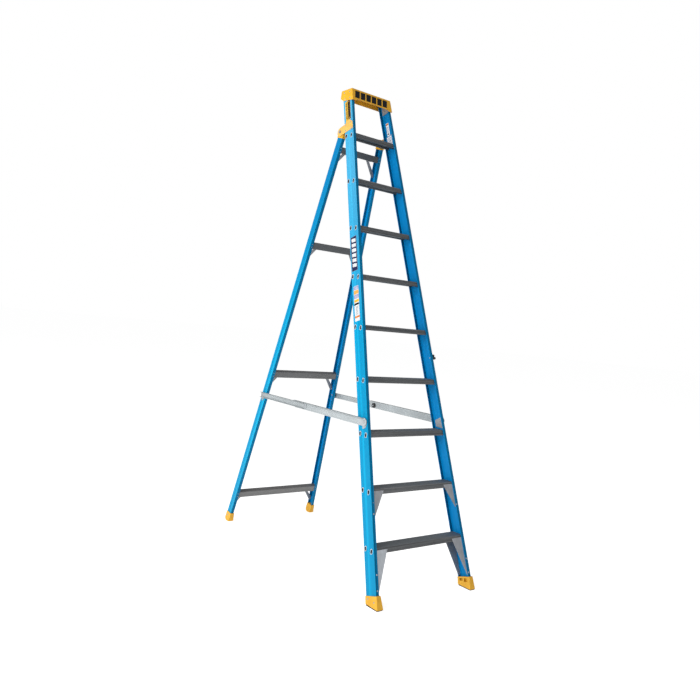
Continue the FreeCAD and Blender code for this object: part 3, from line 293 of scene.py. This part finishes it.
def tread_metal():
    """Mill-finish treads: dark skirts, tops painted lighter and bluer as light from above,
    undersides in painted shade, bright flared ends.
    """
    material, tree, principled, colour = drawn_metal(
        "tread_metal", (0.060, 0.064, 0.068), (0.160, 0.163, 0.166), 0.35, 0.40,
        (1.1, 150.0, 150.0), underside_shade=(0.022, 0.040, 0.055))
    # Faces that look up are painted lighter and bluer: painted light from above.
    up = fade(tree, axes(tree, "Normal")[2], 0.5, 0.95)
    colour = mix(tree, maths(tree, "MULTIPLY", up, 0.75), colour, (0.190, 0.212, 0.230))
    # The flared ends are bright; their throats take a near-black painted shade.
    flare = mix(tree, throat_shade_mask(tree), (0.62, 0.64, 0.67), (0.020, 0.016, 0.014))
    colour = mix(tree, beyond_web(tree), colour, flare)
    tree.links.new(colour, principled.inputs["Base Color"])
    return material


def cross_metal():
    """Sheet metal of the rear horizontals, darker towards the top of the ladder."""
    material, tree, principled, colour = drawn_metal(
        "cross_metal", (0.150, 0.147, 0.146), (0.200, 0.197, 0.195), 0.30, 0.42,
        (1.1, 160.0, 160.0), underside_shade=(0.05, 0.065, 0.08))
    height = fade(tree, axes(tree, "Object")[2], 0.5, 2.3)
    colour = mix(tree, height, colour, (0.060, 0.067, 0.074))
    tree.links.new(colour, principled.inputs["Base Color"])
    return material


def moulded(name, dark, light, rough, grain):
    """Moulded plastic with a fine grain and slight colour drift, and painted shade underneath."""
    material, tree, principled = shader(name)
    drift = noise(tree, place(tree, (14.0, 14.0, 14.0)), 3.0)
    texture = noise(tree, place(tree, (grain, grain, grain)), 2.0)
    colour = ramp(tree, drift, [(0.32, dark), (0.68, light)])
    # Faces that look down take a darker copy of the colour: painted shade.
    shade_below = tuple(channel * share for channel, share in zip(dark, (0.72, 0.55, 0.5)))
    down = fade(tree, axes(tree, "Normal")[2], -0.3, -0.8)
    colour = mix(tree, down, colour, shade_below)
    tree.links.new(colour, principled.inputs["Base Color"])
    tree.links.new(ramp(tree, texture, [(0.3, rough), (0.7, rough + 0.12)]),
                   principled.inputs["Roughness"])
    principled.inputs["Specular IOR Level"].default_value = 0.35
    bump(tree, principled, texture, 0.2)
    return material


def printed(name, colour):
    """Printed vinyl: an ink colour with slight mottling and a soft sheen."""
    material, tree, principled = shader(name)
    mottle = noise(tree, place(tree, (70.0, 70.0, 70.0)), 3.0)
    dim = tuple(channel * 0.84 for channel in colour)
    tree.links.new(ramp(tree, mottle, [(0.3, dim), (0.7, colour)]),
                   principled.inputs["Base Color"])
    tree.links.new(ramp(tree, mottle, [(0.3, 0.34), (0.7, 0.46)]),
                   principled.inputs["Roughness"])
    principled.inputs["Specular IOR Level"].default_value = 0.22
    return material


def rail_materials():
    """One fibreglass per rail; the front webs take a painted sheen at the top, the rear ones
    painted shade.
    """
    # Front rails: a painted sheen, the reflection of the left light, on the upper outer web; rear
    # rails: painted shade there.
    front_top_sheen = ((0.07, 0.31, 0.50), (0.12, 0.38, 0.57), 0.50)
    shaded = ((0.001, 0.100, 0.26), (0.002, 0.160, 0.38), 0.80)
    return {
        "front_left_rail": fibreglass("blue_front_left", LEAN, -SPLAY, LEFT, *front_top_sheen),
        "front_right_rail": fibreglass("blue_front_right", LEAN, SPLAY, RIGHT, *front_top_sheen),
        "rear_left_rail": fibreglass("blue_rear_left", -REAR_LEAN, -REAR_SPLAY, LEFT, *shaded),
        "rear_right_rail": fibreglass("blue_rear_right", -REAR_LEAN, REAR_SPLAY, RIGHT, *shaded),
    }


def slot_materials():
    """The material of each slot of the record, apart from the rails."""
    return {
        "tread_aluminium": tread_metal(),
        "plain_aluminium": drawn_metal(
            "sheet_metal", (0.260, 0.270, 0.290), (0.340, 0.352, 0.375), 0.30, 0.42,
            (90.0, 90.0, 9.0), underside_shade=(0.05, 0.065, 0.08))[0],
        "spreader_metal": drawn_metal(
            "bar_metal", (0.320, 0.350, 0.362), (0.372, 0.402, 0.414), 0.25, 0.42,
            (120.0, 0.8, 120.0), underside_shade=(0.20, 0.22, 0.24))[0],
        "yellow_moulding": moulded("yellow_moulding", (0.56, 0.285, 0.012),
                                   (0.67, 0.355, 0.022), 0.40, 900.0),
        "yellow_plate": moulded("yellow_plate", (0.60, 0.34, 0.075),
                                (0.69, 0.40, 0.100), 0.34, 500.0),
        "black_moulding": moulded("black_moulding", (0.006, 0.006, 0.006),
                                  (0.014, 0.014, 0.015), 0.36, 700.0),
        "rubber": moulded("rubber", (0.016, 0.015, 0.013), (0.030, 0.027, 0.024), 0.70, 300.0),
        "fastener_steel": drawn_metal(
            "fastener_steel", (0.30, 0.315, 0.34), (0.42, 0.435, 0.46), 0.6, 0.42,
            (300.0, 300.0, 300.0))[0],
    }


def dress_frame():
    """Every CAD node gets its material."""
    rails = rail_materials()
    slots = slot_materials()
    cross = cross_metal()
    # The left lower gusset takes a lighter copy of the sheet metal: a painted highlight where the
    # left light falls on it.
    bright = drawn_metal(
        "lit_gusset_sheet", (0.400, 0.425, 0.460), (0.480, 0.510, 0.550), 0.30, 0.42,
        (90.0, 90.0, 9.0), underside_shade=(0.05, 0.065, 0.08))[0]
    for row in frame["record"]["subparts"]:
        thing = frame["nodes"][row["node"]]
        material = rails.get(row["node"], slots.get(row["material_slot"]))
        if row["node"].startswith("rear_horizontal"):
            material = cross
        elif row["node"] == "left_lower_gusset":
            material = bright
        if not thing.material_slots:
            thing.data.materials.append(material)
        for entry in thing.material_slots:
            entry.material = material


# ------------------------------------------------------------------ labels

INKS = {
    "white": (0.55, 0.56, 0.57),
    # bright is a whiter copy of the white ink: painted light for the labels in the shade of the
    # inner web.
    "bright": (0.84, 0.86, 0.90),
    "navy": (0.012, 0.014, 0.060),
    "yellow": (0.62, 0.36, 0.030),
    "amber": (0.55, 0.30, 0.070),
    "brown": (0.022, 0.013, 0.007),
    "black": (0.005, 0.005, 0.007),
    "orange": (0.55, 0.16, 0.020),
    "mauve": (0.26, 0.25, 0.42),
    "grey": (0.16, 0.16, 0.17),
}


def rounded(low, high, radius, steps=4):
    """The corners of a rectangle with rounded corners, in order."""
    points = []
    centres = ((high[0] - radius, high[1] - radius, 0), (low[0] + radius, high[1] - radius, 90),
               (low[0] + radius, low[1] + radius, 180), (high[0] - radius, low[1] + radius, 270))
    for u, v, start in centres:
        for step in range(steps + 1):
            turn = math.radians(start + 90.0 * step / steps)
            points.append((u + radius * math.cos(turn), v + radius * math.sin(turn)))
    return points


def raise_block(mesh, outline, surface, height, ink):
    """A thin printed block over an outline of (u, v) on a surface."""
    ground = [mesh.verts.new(surface(u, v, 0.0)) for u, v in outline]
    top = [mesh.verts.new(surface(u, v, height)) for u, v in outline]
    count = len(outline)
    faces = [mesh.faces.new(top), mesh.faces.new(ground[::-1])]
    for index in range(count):
        after = (index + 1) % count
        faces.append(mesh.faces.new((ground[index], ground[after], top[after], top[index])))
    for face in faces:
        face.material_index = ink


def label(name, surface, blocks):
    """A printed label of raised blocks on a surface; each block is (outline, ink, layer)."""
    inks = sorted({ink for outline, ink, layer in blocks})
    mesh = bmesh.new()
    for outline, ink, layer in blocks:
        height = LABEL_SKIN + LABEL_LAYER * layer
        raise_block(mesh, outline, surface, height, inks.index(ink))
    bmesh.ops.recalc_face_normals(mesh, faces=mesh.faces)
    data = bpy.data.meshes.new(name)
    mesh.to_mesh(data)
    mesh.free()
    for ink in inks:
        data.materials.append(INK_MATERIALS[ink])
    piece = bpy.data.objects.new(name, data)
    bpy.context.scene.collection.objects.link(piece)
    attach(piece, "front_frame")


def on_outer_web(side):
    """The outside of a front rail's web, where label() puts its blocks."""
    return lambda depth, run, out: web_point(side, run, depth, out)


def on_inner_web(side):
    """The inside of a front rail's web."""
    return lambda depth, run, out: web_point(side, run, depth, -WALL - out)


def on_cap_front(x, run, out):
    """The front face of the top cap."""
    return frame_point(x, run, CAP_FRONT - out)


def panel(depths, runs, ink, layer=0, radius=0.0012):
    """A block between two depths and two runs, in metres."""
    return rounded((depths[0], runs[0]), (depths[1], runs[1]), radius), ink, layer


def slanted(depths, runs, slant, ink, layer):
    """A block whose ends slope: a plain mark in place of a printed sign."""
    (near, far), (low, high) = depths, runs
    return [(near, low), (far, low + slant), (far, high + slant), (near, high)], ink, layer


def rating_label():
    """Top of the left rail: a dark panel beside a yellow strip with dark marks."""
    blocks = [
        panel((0.018, 0.070), (2.9430, 3.0810), "yellow"),
        panel((0.0195, 0.0440), (2.9460, 3.0790), "brown", 1),
        panel((0.0245, 0.0390), (2.9540, 2.9570), "amber", 2, 0.0004),
        panel((0.0245, 0.0390), (3.0680, 3.0710), "amber", 2, 0.0004),
    ]
    marks, first, pitch, tall, near, slant = 13, 2.9500, 0.0097, 0.0060, 0.0500, 0.0014
    for index in range(marks):
        run = first + index * pitch
        wide = 0.0150 if index % 3 else 0.0090
        blocks.append(slanted((near, near + wide), (run, run + tall), slant, "brown", 1))
    label("rating_label", on_outer_web(LEFT), blocks)


def name_plate():
    """Middle of the left rail: a bordered navy plate with plain white blocks."""
    (near, far), (low, high), border = (0.0220, 0.0780), (1.9270, 2.1480), 0.002
    inset = (near + border, far - border), (low + border, high - border)
    blocks = [panel((near, far), (low, high), "grey"), panel(*inset, "navy", 1)]
    marks, margin, pitch, tall, slant = 6, 0.0220, 0.0320, 0.0215, 0.0060
    for index in range(marks):
        run = low + margin + index * pitch
        blocks.append(slanted((0.0300, 0.0690), (run, run + tall), slant, "white", 2))
    label("name_plate", on_outer_web(LEFT), blocks)


def guide_label():
    """Below it: a tall sheet with bands of colour and a column of plain marks."""
    bands = (
        (1.8060, 1.8270, "mauve"), (1.7790, 1.8030, "amber"), (1.7520, 1.7760, "mauve"),
        (1.7290, 1.7450, "yellow"), (1.7110, 1.7230, "black"), (1.6320, 1.6440, "orange"),
    )
    blocks = [panel((0.0250, 0.0710), (1.6120, 1.8290), "white")]
    for low, high, ink in bands:
        blocks.append(panel((0.0255, 0.0705), (low, high), ink, 1, 0.0005))
    thin = 0.0014
    for run in (1.8110, 1.8150, 1.8190, 1.7570, 1.7620, 1.7670):
        blocks.append(panel((0.0320, 0.0600), (run, run + thin), "white", 2, 0.0003))
    marks, first, pitch, tall = 9, 1.6520, 0.0060, 0.0026
    for index in range(marks):
        run = first + index * pitch
        near = 0.0400 if index < 6 else 0.0340
        blocks.append(panel((near, 0.0560), (run, run + tall), "grey", 1, 0.0003))
    label("guide_label", on_outer_web(LEFT), blocks)


def inner_labels():
    """Inside the right rail, above the ninth tread: two small white sheets."""
    blocks = [
        # The white of these sheets is painted lighter, as light, against the shade of the inner
        # web.
        panel((0.0350, 0.0600), (2.9220, 3.0110), "bright"),
        panel((0.0370, 0.0580), (2.9960, 3.0085), "orange", 1, 0.0005),
        panel((0.0430, 0.0520), (2.9290, 2.9400), "black", 1, 0.0005),
    ]
    marks, first, pitch, tall = 5, 2.9470, 0.0085, 0.0028
    for index in range(marks):
        run = first + index * pitch
        blocks.append(panel((0.0400, 0.0560), (run, run + tall), "grey", 1, 0.0003))
    label("upper_inner_label", on_inner_web(RIGHT), blocks)
    blocks = [panel((0.0260, 0.0690), (2.8570, 2.9170), "bright")]
    first, pitch, tall, wide, slant = 2.8650, 0.0095, 0.0032, 0.0230, 0.0020
    for index in range(marks):
        run = first + index * pitch
        near = 0.0330 + 0.0030 * (index % 2)
        blocks.append(slanted((near, near + wide), (run, run + tall), slant, "mauve", 1))
    label("lower_inner_label", on_inner_web(RIGHT), blocks)


def cap_marks():
    """Six plain slanted blocks across the front of the top cap."""
    marks, first, pitch, wide, slant = 6, -0.1440, 0.0458, 0.0370, 0.0070
    low, high = 3.0800, 3.1310
    blocks = []
    for index in range(marks):
        left = first + index * pitch
        right = left + wide
        outline = [(left, low), (right, low), (right + slant, high), (left + slant, high)]
        blocks.append((outline, "black", 0))
    label("cap_marks", on_cap_front, blocks)


# ------------------------------------------------------------------ camera, light, floor


def make_camera():
    """The view of the product picture: from the front left, at half height."""
    data = bpy.data.cameras.new("camera")
    data.lens = CAMERA_LENS
    data.sensor_width = 36.0
    data.clip_end = 200.0
    camera = bpy.data.objects.new("camera", data)
    bpy.context.scene.collection.objects.link(camera)
    level = math.cos(CAMERA_PITCH)
    ahead = Vector((math.sin(CAMERA_YAW) * level, math.cos(CAMERA_YAW) * level,
                    math.sin(CAMERA_PITCH)))
    right = Vector((math.cos(CAMERA_YAW), -math.sin(CAMERA_YAW), 0.0))
    up = right.cross(ahead)
    x_axis = right * math.cos(CAMERA_ROLL) + up * math.sin(CAMERA_ROLL)
    y_axis = up * math.cos(CAMERA_ROLL) - right * math.sin(CAMERA_ROLL)
    turn = Matrix((x_axis, y_axis, -ahead)).transposed()
    camera.matrix_world = Matrix.Translation(CAMERA_PLACE) @ turn.to_4x4()
    bpy.context.scene.camera = camera


def soft_light(name, location, size, power):
    """A rectangular light that faces the middle of the ladder."""
    data = bpy.data.lights.new(name, "AREA")
    data.shape = "RECTANGLE"
    data.size, data.size_y = size
    data.energy = power
    light = bpy.data.objects.new(name, data)
    light.location = location
    aim = Vector(LIGHT_AIM) - Vector(location)
    light.rotation_mode = "QUATERNION"
    light.rotation_quaternion = aim.to_track_quat("-Z", "Y")
    bpy.context.scene.collection.objects.link(light)


def make_sky():
    """A soft white sky, dimmer below, that the camera itself sees as plain white."""
    world = bpy.data.worlds.new("studio")
    bpy.context.scene.world = world
    world.use_nodes = True
    tree = world.node_tree
    sky = tree.nodes["Background"]
    height = fade(tree, axes(tree, "Generated")[2], -0.3, 0.8)
    tree.links.new(ramp(tree, height, [(0.0, 0.34), (1.0, 0.62)]), sky.inputs["Color"])
    sky.inputs["Strength"].default_value = 0.62
    seen = tree.nodes.new("ShaderNodeBackground")
    seen.inputs["Color"].default_value = (1.0, 1.0, 1.0, 1.0)
    path = tree.nodes.new("ShaderNodeLightPath")
    choose = tree.nodes.new("ShaderNodeMixShader")
    tree.links.new(path.outputs["Is Camera Ray"], choose.inputs["Fac"])
    tree.links.new(sky.outputs["Background"], choose.inputs[1])
    tree.links.new(seen.outputs["Background"], choose.inputs[2])
    tree.links.new(choose.outputs["Shader"], tree.nodes["World Output"].inputs["Surface"])


def make_floor():
    """A wide white floor that glows a little, so that it meets the sky unseen."""
    mesh = bmesh.new()
    bmesh.ops.create_circle(mesh, cap_ends=True, segments=128, radius=FLOOR_RADIUS,
                            matrix=Matrix.Translation((0.0, 0.0, -FLOOR_DROP)))
    data = bpy.data.meshes.new("floor")
    mesh.to_mesh(data)
    mesh.free()
    floor = bpy.data.objects.new("floor", data)
    bpy.context.scene.collection.objects.link(floor)
    material, tree, principled = shader("floor_white")
    mottle = noise(tree, place(tree, (3.0, 3.0, 3.0)), 2.0)
    tree.links.new(ramp(tree, mottle, [(0.3, 0.70), (0.7, 0.72)]), principled.inputs["Base Color"])
    principled.inputs["Roughness"].default_value = 0.95
    principled.inputs["Specular IOR Level"].default_value = 0.0
    principled.inputs["Emission Color"].default_value = (1.0, 1.0, 1.0, 1.0)
    principled.inputs["Emission Strength"].default_value = 0.74
    data.materials.append(material)


def make_studio():
    """The sky, a large soft light on the left, a weak one in front, and the floor."""
    bpy.context.scene.view_settings.view_transform = "Standard"
    make_sky()
    soft_light("key", (-6.0, -0.6, 3.0), (4.0, 4.0), 450.0)
    soft_light("front_fill", (1.0, -6.5, 3.0), (4.0, 3.0), 60.0)
    make_floor()


make_camera()
make_studio()
dress_frame()
INK_MATERIALS = {name: printed("ink_" + name, colour) for name, colour in INKS.items()}
rating_label()
name_plate()
guide_label()
inner_labels()
cap_marks()
